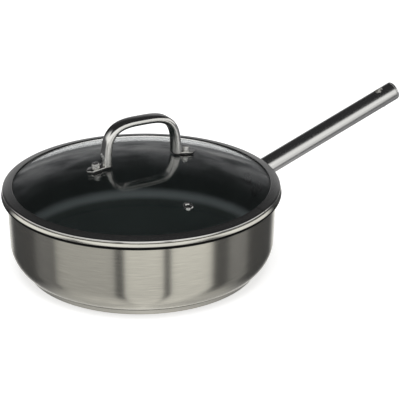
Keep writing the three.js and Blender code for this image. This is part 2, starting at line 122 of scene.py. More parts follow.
class Flow:
    """One shader socket, with arithmetic that adds the nodes for it."""

    def __init__(self, tree, socket=None):
        self.tree = tree
        self.socket = socket

    def node(self, kind, settings=None, values=None, out=0):
        made = self.tree.nodes.new(kind)
        for key, value in (settings or {}).items():
            setattr(made, key, value)
        for key, value in (values or {}).items():
            if isinstance(value, Flow):
                self.tree.links.new(value.socket, made.inputs[key])
            else:
                made.inputs[key].default_value = value
        return Flow(self.tree, made.outputs[out])

    def math(self, operation, *others):
        values = {i: v for i, v in enumerate((self, *others))}
        return self.node("ShaderNodeMath", {"operation": operation}, values)

    def __add__(self, other):
        return self.math("ADD", other)

    def __radd__(self, other):
        return self.math("ADD", other)

    def __mul__(self, other):
        return self.math("MULTIPLY", other)

    def __rmul__(self, other):
        return self.math("MULTIPLY", other)

    def __sub__(self, other):
        return self.math("SUBTRACT", other)

    def __rsub__(self, other):
        return (self * -1).math("ADD", other)

    def step(self, low, high, start=0.0, end=1.0):
        values = {"Value": self, "From Min": low, "From Max": high, "To Min": start, "To Max": end}
        return self.node("ShaderNodeMapRange", {"interpolation_type": "SMOOTHSTEP"}, values)

    def fade(self, span):
        return self.step(span[0] * MM, span[1] * MM)

    def parts(self):
        return [self.node("ShaderNodeSeparateXYZ", None, {0: self}, i) for i in range(3)]

    def vector(self, x, y, z):
        return self.node("ShaderNodeCombineXYZ", None, {0: x, 1: y, 2: z})

    def noise(self, where, scale, detail, rough):
        values = {"Vector": where, "Scale": scale, "Detail": detail, "Roughness": rough}
        return self.node("ShaderNodeTexNoise", None, values)

    def mix(self, first, second):
        values = {0: self, 6: first, 7: second}
        return self.node("ShaderNodeMix", {"data_type": "RGBA"}, values, 2)

    def bump(self, strength, depth):
        values = {"Height": self, "Strength": strength, "Distance": depth * MM}
        return self.node("ShaderNodeBump", None, values)


def finish(name, settings, look):
    material = bpy.data.materials.new(name)
    material.use_nodes = True
    shader = material.node_tree.nodes["Principled BSDF"]
    for key, value in settings.items():
        shader.inputs[key].default_value = value
    start = Flow(material.node_tree)
    place = start.node("ShaderNodeTexCoord", None, None, "Object")
    for key, value in look(place).items():
        material.node_tree.links.new(value.socket, shader.inputs[key])
    return material


def painted(piece, material):
    piece.data.materials.clear()
    piece.data.materials.append(material)


def mounted(piece, material, slot, body, *nodes):
    painted(piece, material)
    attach(piece, body)
    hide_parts(*nodes)


def lathe_place(place):
    x, y, z = place.parts()
    radius = (x * x + y * y).math("SQRT")
    around = y.math("ARCTAN2", x)
    return radius, around, z


def lathe_marks(lathe, per_radian, per_metre, shift, rough):
    radius, around, z = lathe
    unrolled = z.vector(around * per_radian, (z - radius) * per_metre, shift)
    return z.noise(unrolled, 1.0, 2.0, rough)


def shell_look(place):
    lathe = radius, around, z = lathe_place(place)
    fine = lathe_marks(lathe, per_radian=7, per_metre=1900, shift=0.0, rough=0.6)
    coarse = lathe_marks(lathe, per_radian=4, per_metre=620, shift=3.0, rough=0.5)
    patch = place.noise(place, 16.0, 3.0, 0.5)
    curl = radius.fade(POLISH_RADIUS) * z.fade(POLISH_HEIGHT)
    # painted shade: below the bead, the curl's underside turns near black
    shade = z.fade(CURL_PAINTED_SHADE_HEIGHT)
    streak = fine * 0.7 + coarse * 0.3
    # painted shade: the height term makes the brushed wall darker towards the bottom
    tone = streak * 0.8 + z * 3.0
    brushed = tone.step(0.2, 0.85).mix(BRUSHED_DARK, BRUSHED_LIGHT)
    polished = patch.step(0.35, 0.65).mix(POLISHED_DARK, POLISHED_LIGHT)
    wall_roughness = BRUSHED_ROUGHNESS + streak * 0.08 + patch * 0.03
    curl_roughness = POLISHED_ROUGHNESS + shade * 0.4
    return {
        "Base Color": curl.mix(brushed, shade.mix(polished, CURL_PAINTED_SHADE)),
        "Roughness": wall_roughness * (1.0 - curl) + curl * curl_roughness,
        "Normal": (streak * (1.0 - curl)).bump(strength=0.08, depth=0.04),
    }


shell = turned("pan_shell_fine", (
    bowl(0, CURL_CENTRE[1])
    + arc(CURL_CENTRE, CURL_RADIUS - WALL_SHEET, 180, CURL_END, 20)[1:]
    + arc(CURL_CENTRE, CURL_RADIUS, CURL_END, 0, 10)
    + arc(CURL_FACE_CENTRE, CURL_FACE_RADIUS, CURL_FACE_START, CURL_FACE_END, 5)[1:-1]
    + arc(CURL_CENTRE, CURL_RADIUS, CURL_TOP_START, 180, 16)
    + bowl(WALL_SHEET, CURL_CENTRE[1])[::-1][1:]
), LARGE_ROUND)
shell_steel = finish("brushed_shell_steel", {
    "Metallic": 1.0, "Anisotropic": WALL_ANISOTROPY, "Anisotropic Rotation": BRUSHED_ROUND,
}, shell_look)
mounted(shell, shell_steel, "pan_steel", "pan", "pan_shell")

# Non-stick layer: dark sprayed coating baked on the floor and the inner wall. It stops on a clean
# line below the rim and is a little cloudy from the spraying. A lighter band where the wall turns
# up is a painted highlight: a sheen painted into the coating's colour.
SEAT_GAP = 0.3
COATING_SHEET = 0.4
COATING_TOP = 78.7
COATING_DEPTH = WALL_SHEET + SEAT_GAP
COATING_DARK = (0.0190, 0.0245, 0.0240, 1)
COATING_LIGHT = (0.0270, 0.0345, 0.0335, 1)
COATING_ROUGHNESS = 0.36
COATING_SHINE = 0.35
PAINTED_SHEEN_TONE = (0.160, 0.180, 0.186, 1)
PAINTED_SHEEN_SHARE = 0.9
PAINTED_SHEEN_RISE = (12.5, 19.0)
PAINTED_SHEEN_FALL = (28.5, 20.5)


def coating_look(place):
    lathe = radius, around, z = lathe_place(place)
    rings = lathe_marks(lathe, per_radian=0.5, per_metre=700, shift=0.0, rough=0.5)
    speck = place.noise(place, 2600.0, 2.0, 0.6)
    cloud = place.noise(place, 11.0, 4.0, 0.55)
    dark = (cloud * 0.7 + speck * 0.3).step(0.35, 0.68).mix(COATING_DARK, COATING_LIGHT)
    # painted highlight: a lighter band of sheen where the wall turns up
    painted_sheen = z.fade(PAINTED_SHEEN_RISE) * z.fade(PAINTED_SHEEN_FALL) * PAINTED_SHEEN_SHARE
    return {
        "Base Color": painted_sheen.mix(dark, PAINTED_SHEEN_TONE),
        "Roughness": COATING_ROUGHNESS + cloud * 0.12 + speck * 0.05,
        "Normal": (speck * 0.7 + rings * 0.3).bump(strength=0.18, depth=0.05),
    }


coating = turned("nonstick_coating_fine", (
    bowl(COATING_DEPTH, COATING_TOP) + bowl(COATING_DEPTH + COATING_SHEET, COATING_TOP)[::-1]
), LARGE_ROUND)
coating_paint = finish("dark_nonstick", {
    "Metallic": 0.0, "Specular IOR Level": COATING_SHINE,
}, coating_look)
mounted(coating, coating_paint, "nonstick", "pan", "nonstick_coating")

# Base: an aluminium disc, hidden, in a pressed steel cap that is welded under the floor. The cap's
# edge flares up to the foot of the wall and was faced on the lathe.
CAP_FOOT = 125.23
CAP_TOP = 128.03
CAP_HEIGHT = 6.5
CAP_SHEET = 1.2
CAP_ROUND = 1.0
CAP_BEND = CAP_FOOT - 1.2
CAP_BEVEL_WIDTH = 0.35
CAP_BEVEL_HEIGHT = 0.4
CAP_INNER_BEND = ((CAP_BEND - 0.1, 1.5), (CAP_BEND - 1.0, CAP_SHEET))
CAP_RINGS = (0, 30, 70, 105, CAP_BEND - 0.4)
CAP_DARK = (0.52, 0.505, 0.46, 1)
CAP_LIGHT = (0.66, 0.64, 0.58, 1)
CAP_ROUGHNESS = 0.26
CAP_ANISOTROPY = 0.6
CORE_DARK = (0.62, 0.63, 0.64, 1)
CORE_LIGHT = (0.76, 0.77, 0.78, 1)
CORE_ROUGHNESS = 0.38


def cap_look(place):
    rings = lathe_marks(lathe_place(place), per_radian=0.8, per_metre=1900, shift=5.0, rough=0.6)
    patch = place.noise(place, 18.0, 3.0, 0.5)
    return {
        "Base Color": rings.step(0.3, 0.7).mix(CAP_DARK, CAP_LIGHT),
        "Roughness": CAP_ROUGHNESS + rings * 0.14 + patch * 0.05,
        "Normal": rings.bump(strength=0.22, depth=0.04),
    }


base_cap = turned("base_cap_fine", (
    [(r, 0) for r in CAP_RINGS]
    + arc((CAP_BEND, CAP_ROUND), CAP_ROUND, -90, -22, 6)
    + [(CAP_TOP - CAP_BEVEL_WIDTH, CAP_HEIGHT - CAP_BEVEL_HEIGHT), (CAP_TOP, CAP_HEIGHT)]
    + [(CAP_TOP - CAP_SHEET, CAP_HEIGHT), *CAP_INNER_BEND, (0, CAP_SHEET)]
), LARGE_ROUND)
cap_steel = finish("faced_cap_steel", {
    "Metallic": 1.0, "Anisotropic": CAP_ANISOTROPY, "Anisotropic Rotation": BRUSHED_ROUND,
}, cap_look)
mounted(base_cap, cap_steel, "base_steel", "pan", "base_cap")


def core_look(place):
    grain = place.noise(place, 260.0, 3.0, 0.6)
    return {
        "Base Color": grain.step(0.3, 0.7).mix(CORE_DARK, CORE_LIGHT),
        "Roughness": CORE_ROUGHNESS + grain * 0.14,
        "Normal": grain.bump(strength=0.15, depth=0.05),
    }


core_metal = finish("plain_aluminium", {"Metallic": 1.0}, core_look)
painted(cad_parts["base_core"], core_metal)

# Handle tube: a straight satin steel tube pushed on the spigot of a bracket, which is welded steel
# plate. The tube rises away from the pan, and a hanging hole is drilled through its far end.
HANDLE_HEIGHT = 76.7
HANDLE_RISE = math.radians(20)
TUBE_RADIUS = 10.6
TUBE_SHEET = 1.2
TUBE_BORE = TUBE_RADIUS - TUBE_SHEET
TUBE_START = 4.92
TUBE_END = 185.1
TUBE_RINGS = 12
TUBE_RING_STEP = 15
TUBE_START_BEVEL = 0.3
TUBE_END_BEVEL = 0.2
TUBE_ROUND = 96
SMALL_ROUND = 48
HOLE_AT = 168.5
HOLE_RADIUS = 4.1
SLEEVE_SHEET = 0.8
SLEEVE_RADIUS = HOLE_RADIUS + SLEEVE_SHEET
HOLE_DRILL_HALF = 20
TUBE_DARK = (0.74, 0.74, 0.735, 1)
TUBE_LIGHT = (0.82, 0.82, 0.81, 1)
TUBE_ROUGHNESS = 0.17


def settled(piece, matrix):
    bpy.ops.object.select_all(action="DESELECT")
    piece.select_set(True)
    bpy.context.view_layer.objects.active = piece
    piece.matrix_world = matrix
    bpy.ops.object.transform_apply(location=True, rotation=True, scale=True)
    return piece


def cut(piece, *tools):
    for tool in tools:
        bpy.ops.object.select_all(action="DESELECT")
        piece.select_set(True)
        bpy.context.view_layer.objects.active = piece
        hole = piece.modifiers.new("hole", "BOOLEAN")
        hole.operation = "DIFFERENCE"
        hole.object = tool
        bpy.ops.object.modifier_apply(modifier=hole.name)
        bpy.data.objects.remove(tool)
    bpy.ops.object.shade_smooth_by_angle(angle=CREASE_ANGLE)
    return piece


def drill(radius, low, high):
    made = turned("tool", [(0, low), (radius, low), (radius, high), (0, high)], SMALL_ROUND)
    return settled(made, Matrix.Rotation(math.pi / SMALL_ROUND, 4, "Z"))


handle_point = Vector((RIM_RADIUS, 0, HANDLE_HEIGHT)) * MM
handle_frame = Matrix.Translation(handle_point) @ Matrix.Rotation(math.pi / 2 - HANDLE_RISE, 4, "Y")
hole_frame = Matrix.Translation((0, 0, HOLE_AT * MM)) @ Matrix.Rotation(math.pi / 2, 4, "Y")


def tube_look(place):
    x, y, z = place.parts()
    along = x * math.cos(HANDLE_RISE) + z * math.sin(HANDLE_RISE)
    across = z * math.cos(HANDLE_RISE) - x * math.sin(HANDLE_RISE)
    fine = place.noise(place.vector(along * 30, y * 2400, across * 2400), 1.0, 2.0, 0.6)
    patch = place.noise(place, 24.0, 3.0, 0.5)
    return {
        "Base Color": fine.step(0.3, 0.7).mix(TUBE_DARK, TUBE_LIGHT),
        "Roughness": TUBE_ROUGHNESS + fine * 0.10 + patch * 0.05,
        "Normal": fine.bump(strength=0.015, depth=0.03),
    }


tube_steel = finish("satin_tube_steel", {"Metallic": 1.0}, tube_look)
tube = turned("handle_tube_fine", (
    [(TUBE_BORE, TUBE_START), (TUBE_RADIUS - TUBE_START_BEVEL, TUBE_START)]
    + [(TUBE_RADIUS, TUBE_START + TUBE_START_BEVEL)]
    + [(TUBE_RADIUS, TUBE_START + TUBE_RING_STEP * i) for i in range(1, TUBE_RINGS)]
    + [(TUBE_RADIUS, TUBE_END - TUBE_END_BEVEL), (TUBE_RADIUS - TUBE_END_BEVEL, TUBE_END)]
    + [(TUBE_BORE, TUBE_END), (TUBE_BORE, TUBE_START)]
), TUBE_ROUND)
hole_drill = drill(SLEEVE_RADIUS + SEAT_GAP, -HOLE_DRILL_HALF, HOLE_DRILL_HALF)
settled(cut(tube, settled(hole_drill, hole_frame)), handle_frame)
mounted(tube, tube_steel, "handle_steel", "pan", "handle_tube")
painted(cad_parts["handle_bracket"], tube_steel)

# Hanging sleeve: a short polished steel liner pressed into the hanging hole, with a rolled upper
# edge, so that a hook does not wear the thin tube.
SLEEVE_HALF = 9.6
TRIM_DARK = (0.80, 0.795, 0.78, 1)
TRIM_LIGHT = (0.88, 0.875, 0.86, 1)
TRIM_ROUGHNESS = 0.20


def trim_look(place):
    patch = place.noise(place, 70.0, 3.0, 0.55)
    fine = place.noise(place, 900.0, 2.0, 0.6)
    return {
        "Base Color": patch.step(0.3, 0.7).mix(TRIM_DARK, TRIM_LIGHT),
        "Roughness": TRIM_ROUGHNESS + patch * 0.08 + fine * 0.04,
        "Normal": fine.bump(strength=0.02, depth=0.03),
    }


trim_steel = finish("polished_trim_steel", {"Metallic": 1.0}, trim_look)
sleeve = turned("hanging_sleeve_fine", (
    [(HOLE_RADIUS, -SLEEVE_HALF), (SLEEVE_RADIUS, -SLEEVE_HALF), (SLEEVE_RADIUS, SLEEVE_HALF)]
    + arc((HOLE_RADIUS + SLEEVE_SHEET / 2, SLEEVE_HALF), SLEEVE_SHEET / 2, 0, 180, 6)
    + [(HOLE_RADIUS, -SLEEVE_HALF)]
), SMALL_ROUND)
settled(sleeve, handle_frame @ hole_frame)
mounted(sleeve, trim_steel, "trim_steel", "pan", "hanging_sleeve")

# Handle end: a shallow steel plug, pressed into the tube's open end. Its rounded edge is as wide as
# the tube and its face is slightly crowned.
HANDLE_REACH = 188
PLUG_LENGTH = 8
PLUG_START = TUBE_END - PLUG_LENGTH
PLUG_RADIUS = TUBE_BORE - SEAT_GAP
PLUG_LEAD_WIDTH = 0.4
PLUG_LEAD_LENGTH = 0.5
PLUG_SEAT = TUBE_END + SEAT_GAP
PLUG_ROUND = 1.8
PLUG_CROWN_RADIUS = 5
PLUG_CROWN_DROP = 0.05

end_cap = turned("handle_end_cap_fine", (
    [(0, PLUG_START), (PLUG_RADIUS - PLUG_LEAD_WIDTH, PLUG_START)]
    + [(PLUG_RADIUS, PLUG_START + PLUG_LEAD_LENGTH), (PLUG_RADIUS, PLUG_SEAT)]
    + [(TUBE_RADIUS - TUBE_END_BEVEL, PLUG_SEAT), (TUBE_RADIUS, PLUG_SEAT + TUBE_END_BEVEL)]
    + arc((TUBE_RADIUS - PLUG_ROUND, HANDLE_REACH - PLUG_ROUND), PLUG_ROUND, 0, 78, 8)
    + [(PLUG_CROWN_RADIUS, HANDLE_REACH - PLUG_CROWN_DROP), (0, HANDLE_REACH)]
), TUBE_ROUND)
settled(end_cap, handle_frame)
mounted(end_cap, tube_steel, "handle_steel", "pan", "handle_end_cap")

# Rivets: three steel rivets hold the bracket on the wall. Their heads inside the pan were coated with
# the wall, and their ends outside are bare steel.
RIVET_COUNT = 3
RIVET_BARE_RADIUS = (139.5, 140.0)
RIVET_COAT_DARK = (0.010, 0.012, 0.012, 1)
RIVET_COAT_LIGHT = (0.018, 0.021, 0.020, 1)
RIVET_STEEL_DARK = (0.60, 0.59, 0.57, 1)
RIVET_STEEL_LIGHT = (0.72, 0.71, 0.69, 1)
RIVET_ROUGHNESS = 0.34
RIVET_SHINE = 0.4


def rivet_look(place):
    bare = lathe_place(place)[0].fade(RIVET_BARE_RADIUS)
    speck = place.noise(place, 2600.0, 2.0, 0.6)
    cloud = place.noise(place, 60.0, 3.0, 0.55)
    tone = cloud.step(0.35, 0.65)
    coat = tone.mix(RIVET_COAT_DARK, RIVET_COAT_LIGHT)
    steel = tone.mix(RIVET_STEEL_DARK, RIVET_STEEL_LIGHT)
    return {
        "Base Color": bare.mix(coat, steel),
        "Metallic": bare,
        "Roughness": RIVET_ROUGHNESS + cloud * 0.12 - bare * 0.10,
        "Normal": speck.bump(strength=0.15, depth=0.05),
    }


rivet_paint = finish("coated_rivets", {"Specular IOR Level": RIVET_SHINE}, rivet_look)
for number in range(1, RIVET_COUNT + 1):
    painted(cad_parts[f"handle_rivet_{number}"], rivet_paint)

# Lid glass: one tempered pane, pressed to a shallow dome, with three holes drilled before it was
# hardened. It is clear with a faint green tint.
GLASS_RADIUS = 138.5
GLASS_SHEET = 4
GLASS_RINGS = 40
DOME_RADIUS = 363.5
DOME_CENTRE = -245.3
VENT_AT = 102.5
VENT_HOLE = 3.2
SCREW_AT = 52
SCREW_RADIUS = 2.0
SCREW_HOLE = SCREW_RADIUS + SEAT_GAP
GLASS_DRILL_HALF = 9
GLASS_TINTED = (0.955, 0.985, 0.975, 1)
GLASS_CLEAR = (0.975, 0.992, 0.985, 1)
GLASS_ROUGHNESS = 0.012
GLASS_IOR = 1.47


def dome(radius, depth=0.0):
    return DOME_CENTRE + math.sqrt((DOME_RADIUS - depth) ** 2 - radius ** 2)


def on_glass(radius, angle):
    lean = Matrix.Rotation(math.asin(radius / DOME_RADIUS), 4, "Y")
    spot = Matrix.Translation(Vector((radius, 0, dome(radius))) * MM)
    return Matrix.Rotation(angle, 4, "Z") @ spot @ lean


vent_spot = on_glass(VENT_AT, -math.pi / 2)
screw_spots = {"near_handle": on_glass(SCREW_AT, 0), "far_side": on_glass(SCREW_AT, math.pi)}


def glass_look(place):
    smear = place.noise(place, 22.0, 4.0, 0.6)
    return {
        "Base Color": smear.step(0.3, 0.7).mix(GLASS_TINTED, GLASS_CLEAR),
        "Roughness": GLASS_ROUGHNESS + smear.step(0.5, 0.85) * 0.02,
    }


radii = [GLASS_RADIUS * i / GLASS_RINGS for i in range(GLASS_RINGS + 1)]
glass = turned("lid_glass_fine", (
    [(r, dome(r, GLASS_SHEET)) for r in radii] + [(r, dome(r)) for r in reversed(radii)]
), LARGE_ROUND)
vent_drill = settled(drill(VENT_HOLE, -GLASS_DRILL_HALF, GLASS_DRILL_HALF), vent_spot)
cut(glass, vent_drill, *[
    settled(drill(SCREW_HOLE, -GLASS_DRILL_HALF, GLASS_DRILL_HALF), spot)
    for spot in screw_spots.values()
])
clear_glass = finish("clear_tempered_glass", {
    "Metallic": 0.0, "Transmission Weight": 1.0, "IOR": GLASS_IOR,
}, glass_look)
mounted(glass, clear_glass, "glass", "lid", "lid_glass")
glass.visible_shadow = False

# Lid band: one steel strip rolled round the glass edge. Its sloping lip grips the glass, its edge lies
# on the pan's rim and its skirt hangs in the mouth. The ends meet in one butt joint.
BAND_RADIUS = 146.3
BAND_BOTTOM = 88.0
BAND_ROUND = 1.5
LIP_RADIUS = 136
LIP_TOP = 92.8
LIP_SHEET = 0.7
LIP_SLOPE = ((142.0, 91.62), (139.0, 92.25))
LIP_EDGE = ((LIP_RADIUS + 0.4, LIP_TOP - 0.05), (LIP_RADIUS, LIP_TOP - 0.3))
GROOVE_RADIUS = GLASS_RADIUS + SEAT_GAP
GROOVE_TOP = LIP_TOP - 0.75
LEDGE_OUTER = 86.15
LEDGE_INNER = 87.18
LEDGE_SHEET = 0.7
SKIRT_RADIUS = 139.6
SKIRT_SHEET = 0.8
SKIRT_BORE = SKIRT_RADIUS - SKIRT_SHEET
SKIRT_BOTTOM = 79.3
SKIRT_BEND = ((SKIRT_RADIUS, BAND_BOTTOM - 0.6), (SKIRT_RADIUS + 0.3, BAND_BOTTOM))
SEAM_ANGLE = -1.03
SEAM_HALF = (0.0036, 0.0026)
SEAM_TONE = (0.02, 0.02, 0.02, 1)
EDGE_RADIUS = (144.0, 145.0)
LIP_PAINTED_REFLECTION_RADIUS = (136.0, 145.0)
LIP_DARK = (0.68, 0.68, 0.66, 1)
LIP_LIGHT = (0.86, 0.855, 0.83, 1)
LIP_ROUGHNESS = 0.16
EDGE_DARK = (0.78, 0.775, 0.755, 1)
EDGE_LIGHT = (0.84, 0.83, 0.81, 1)
EDGE_ROUGHNESS = 0.08


def band_look(place):
    lathe = radius, around, z = lathe_place(place)
    rings = lathe_marks(lathe, per_radian=1.2, per_metre=2200, shift=9.0, rough=0.6)
    patch = place.noise(place, 30.0, 3.0, 0.5)
    edge = radius.fade(EDGE_RADIUS)
    # the lip's tone mixes its lathe rings and patches with a painted reflection that makes it lighter
    # towards its outer edge
    tone = rings * 0.4 + patch * 0.2 + radius.fade(LIP_PAINTED_REFLECTION_RADIUS) * 0.4
    lip = tone.step(0.2, 0.8).mix(LIP_DARK, LIP_LIGHT)
    polish = patch.step(0.3, 0.7).mix(EDGE_DARK, EDGE_LIGHT)
    seam = (around - SEAM_ANGLE).math("ABSOLUTE").step(*SEAM_HALF)
    lip_roughness = LIP_ROUGHNESS + rings * 0.10
    edge_roughness = EDGE_ROUGHNESS + patch * 0.05
    return {
        "Base Color": seam.mix(edge.mix(lip, polish), SEAM_TONE),
        "Roughness": lip_roughness * (1.0 - edge) + edge * edge_roughness,
        "Normal": (rings * (1.0 - edge)).bump(strength=0.06, depth=0.03),
    }


skirt_edge = SKIRT_BOTTOM + SKIRT_SHEET / 2
band = turned("lid_rim_band_fine", (
    [(SKIRT_BORE, skirt_edge)]
    + arc((SKIRT_RADIUS - SKIRT_SHEET / 2, skirt_edge), SKIRT_SHEET / 2, 180, 360, 8)
    + [*SKIRT_BEND, (BAND_RADIUS - BAND_ROUND, BAND_BOTTOM)]
    + arc((BAND_RADIUS - BAND_ROUND, BAND_BOTTOM + BAND_ROUND), BAND_ROUND, -85, 78, 16)
    + [*LIP_SLOPE, *LIP_EDGE, (LIP_RADIUS, LIP_TOP - LIP_SHEET)]
    + [(GROOVE_RADIUS, GROOVE_TOP), (GROOVE_RADIUS, LEDGE_OUTER)]
    + [(LIP_RADIUS, LEDGE_INNER), (LIP_RADIUS, LEDGE_INNER - LEDGE_SHEET)]
    + [(SKIRT_BORE, LEDGE_OUTER - LEDGE_SHEET), (SKIRT_BORE, skirt_edge)]
), LARGE_ROUND)
band_steel = finish("rolled_band_steel", {"Metallic": 1.0}, band_look)
mounted(band, band_steel, "band_steel", "lid", "lid_rim_band")

# Vent: a small steel eyelet, pushed through the hole in the glass and rolled over underneath. Its
# collar has sloping sides and a flat top.
EYELET_BORE = 2.0
EYELET_BARREL = VENT_HOLE - SEAT_GAP
EYELET_COLLAR = 5.1
EYELET_TOP = 1.2
EYELET_SIDES = ((EYELET_COLLAR, 0.45), (4.4, 1.13))
EYELET_FLAT = ((4.15, EYELET_TOP), (3.55, EYELET_TOP))
EYELET_MOUTH = ((3.3, 1.1), (EYELET_BORE, -0.2))
EYELET_ROLL = 4.2
EYELET_ROLL_EDGE = ((3.7, -5.2), (EYELET_ROLL, -4.75))
EYELET_BOTTOM = -5.2

glass_under = -GLASS_SHEET - SEAT_GAP
eyelet = turned("vent_eyelet_fine", [
    (EYELET_BORE, EYELET_BOTTOM), *EYELET_ROLL_EDGE, (EYELET_ROLL, glass_under),
    (EYELET_BARREL, glass_under), (EYELET_BARREL, SEAT_GAP), (EYELET_COLLAR, SEAT_GAP),
    *EYELET_SIDES, *EYELET_FLAT, *EYELET_MOUTH, (EYELET_BORE, EYELET_BOTTOM),
], SMALL_ROUND)
settled(eyelet, vent_spot)
mounted(eyelet, trim_steel, "trim_steel", "lid", "vent_eyelet")

# Lid handle: a steel tube pressed to an oval and bent to a squared bow. Each end is flattened and
# folded out into a thin foot with clipped corners, which a screw holds on a dark pad.
BOW_HALF = 40.5
BOW_BASE = 118.55
BOW_RISE = 42.15
BOW_SQUARENESS = 3.3
BOW_WIDTH = 15.5
BOW_THICK = 8.2
BOW_SIDES = 40
BOW_STATIONS = 72
BOW_SAMPLES = 4000
BOW_CREASE_ANGLE = math.radians(40)
BOW_DARK = (0.76, 0.755, 0.735, 1)
BOW_LIGHT = (0.84, 0.835, 0.815, 1)
BOW_ROUGHNESS = 0.12
PAD_THICK = 1.0
FOOT_BOTTOM = SEAT_GAP + PAD_THICK + SEAT_GAP
FOOT_THICK = 1.6
FOOT_HALF = 6
FOOT_START = -15.6
FOOT_REACH = 10.5
FOOT_CLIP = 4.5
FOOT_BEVEL = 0.25
FOOT_DRILL_HALF = 4


def bow_point(angle):
    power = 2 / BOW_SQUARENESS
    across = -math.copysign(abs(math.cos(angle)) ** power, math.cos(angle))
    up = max(math.sin(angle), 0) ** power
    return Vector((across * BOW_HALF, 0, BOW_BASE + BOW_RISE * up)) * MM


def bow_route():
    many = [bow_point(math.pi * i / BOW_SAMPLES) for i in range(BOW_SAMPLES + 1)]
    lengths = [0.0]
    for before, after in zip(many, many[1:]):
        lengths.append(lengths[-1] + (after - before).length)
    route = [many[0]]
    for station in range(1, BOW_STATIONS):
        goal = lengths[-1] * station / BOW_STATIONS
        route.append(many[next(i for i, length in enumerate(lengths) if length >= goal)])
    return route + [many[-1]]


def picked(piece, wanted):
    bpy.ops.object.mode_set(mode="OBJECT")
    for element in (*piece.data.edges, *piece.data.polygons):
        element.select = False
    for vertex in piece.data.vertices:
        vertex.select = wanted(vertex.co)
    bpy.ops.object.mode_set(mode="EDIT")


def bow_look(place):
    x, y, z = place.parts()
    streak = place.noise(place.vector(x * 60, y * 1800, z * 60), 1.0, 2.0, 0.6)
    patch = place.noise(place, 40.0, 3.0, 0.5)
    return {
        "Base Color": patch.step(0.3, 0.7).mix(BOW_DARK, BOW_LIGHT),
        "Roughness": BOW_ROUGHNESS + streak * 0.07 + patch * 0.04,
        "Normal": streak.bump(strength=0.06, depth=0.03),
    }


route = bow_route()
bpy.ops.object.select_all(action="DESELECT")
bpy.ops.mesh.primitive_circle_add(vertices=BOW_SIDES, radius=BOW_THICK / 2 * MM, fill_type="NGON")
bow = bpy.context.object
bow.name = bow.data.name = "lid_handle_fine"
for side in (1, -1):
    picked(bow, lambda place: place.y * side > WELD_DISTANCE * MM)
    bpy.ops.transform.translate(value=(0, side * (BOW_WIDTH - BOW_THICK) / 2 * MM, 0))
bpy.ops.mesh.select_all(action="SELECT")
bpy.ops.transform.translate(value=route[0])
heading = 0.0
for station, spot in enumerate(route[1:], 1):
    bpy.ops.mesh.extrude_region_move(TRANSFORM_OT_translate={"value": spot - route[station - 1]})
    ahead = route[min(station + 1, BOW_STATIONS)] - route[station - 1]
    aim = math.atan2(ahead.x, ahead.z)
    bpy.ops.transform.rotate(
        value=-(aim - heading), orient_axis="Y", orient_type="GLOBAL", center_override=spot
    )
    heading = aim
bpy.ops.mesh.select_all(action="SELECT")
bpy.ops.mesh.normals_make_consistent(inside=False)
bpy.ops.object.mode_set(mode="OBJECT")
bpy.ops.object.shade_smooth_by_angle(angle=BOW_CREASE_ANGLE)


def plate(name, bottom, thickness):
    length = FOOT_REACH - FOOT_START
    middle = (FOOT_REACH + FOOT_START) / 2
    bpy.ops.object.select_all(action="DESELECT")
    bpy.ops.mesh.primitive_plane_add(size=MM)
    made = bpy.context.object
    made.name = made.data.name = name
    bpy.ops.object.mode_set(mode="EDIT")
    bpy.ops.mesh.select_all(action="SELECT")
    bpy.ops.transform.resize(value=(length, 2 * FOOT_HALF, 1))
    bpy.ops.transform.translate(value=(middle * MM, 0, bottom * MM))
    picked(made, lambda place: place.x > 0)
    bpy.ops.mesh.bevel(offset=FOOT_CLIP * MM, affect="VERTICES", segments=1)
    bpy.ops.mesh.select_all(action="SELECT")
    bpy.ops.mesh.extrude_region_move(TRANSFORM_OT_translate={"value": (0, 0, thickness * MM)})
    bpy.ops.mesh.select_all(action="SELECT")
    bpy.ops.mesh.normals_make_consistent(inside=False)
    bpy.ops.mesh.bevel(offset=FOOT_BEVEL * MM, affect="EDGES", segments=2)
    bpy.ops.object.mode_set(mode="OBJECT")
    return cut(made, drill(SCREW_HOLE, bottom - FOOT_DRILL_HALF, bottom + FOOT_DRILL_HALF))


bow_steel = finish("polished_bow_steel", {"Metallic": 1.0}, bow_look)
feet = [settled(plate("foot", FOOT_BOTTOM, FOOT_THICK), spot) for spot in screw_spots.values()]
bpy.ops.object.select_all(action="DESELECT")
for piece in [*feet, bow]:
    piece.select_set(True)
bpy.context.view_layer.objects.active = bow
bpy.ops.object.join()
mounted(bow, bow_steel, "bow_steel", "lid", "lid_handle")

# Lid screws: at each foot a round-headed screw goes through the foot, a pad, the glass, a soft washer
# and a steel one into a closed nut. The pads and soft washers are dark silicone.
HEAD_SEAT = FOOT_BOTTOM + FOOT_THICK + SEAT_GAP
HEAD_RADIUS = 4.0
HEAD_BEVEL = 0.3
HEAD_SIDE_TOP = 7.6
HEAD_ROUND = 0.8
HEAD_ROUND_HEIGHT = 7.7
HEAD_TOP = 8.55
WASHER_RADIUS = 6.0
WASHER_SHEET = 1.0
SOFT_BEVEL = 0.3
SOFT_BOTTOM = -GLASS_SHEET - SEAT_GAP - WASHER_SHEET
STEEL_BEVEL = 0.2
STEEL_BOTTOM = SOFT_BOTTOM - SEAT_GAP - WASHER_SHEET
NUT_TOP = STEEL_BOTTOM - SEAT_GAP
NUT_RADIUS = 4.0
NUT_SKIRT = 3.6
NUT_CROWN = 2.4
NUT_BEVEL = 0.3
SCREW_END = NUT_TOP - NUT_SKIRT
SCREW_TIP = 0.4
SILICONE_DARK = (0.018, 0.018, 0.018, 1)
SILICONE_LIGHT = (0.032, 0.032, 0.032, 1)
SILICONE_ROUGHNESS = 0.55


def silicone_look(place):
    grain = place.noise(place, 1400.0, 3.0, 0.6)
    return {
        "Base Color": grain.step(0.3, 0.7).mix(SILICONE_DARK, SILICONE_LIGHT),
        "Roughness": SILICONE_ROUGHNESS + grain * 0.2,
        "Normal": grain.bump(strength=0.3, depth=0.05),
    }


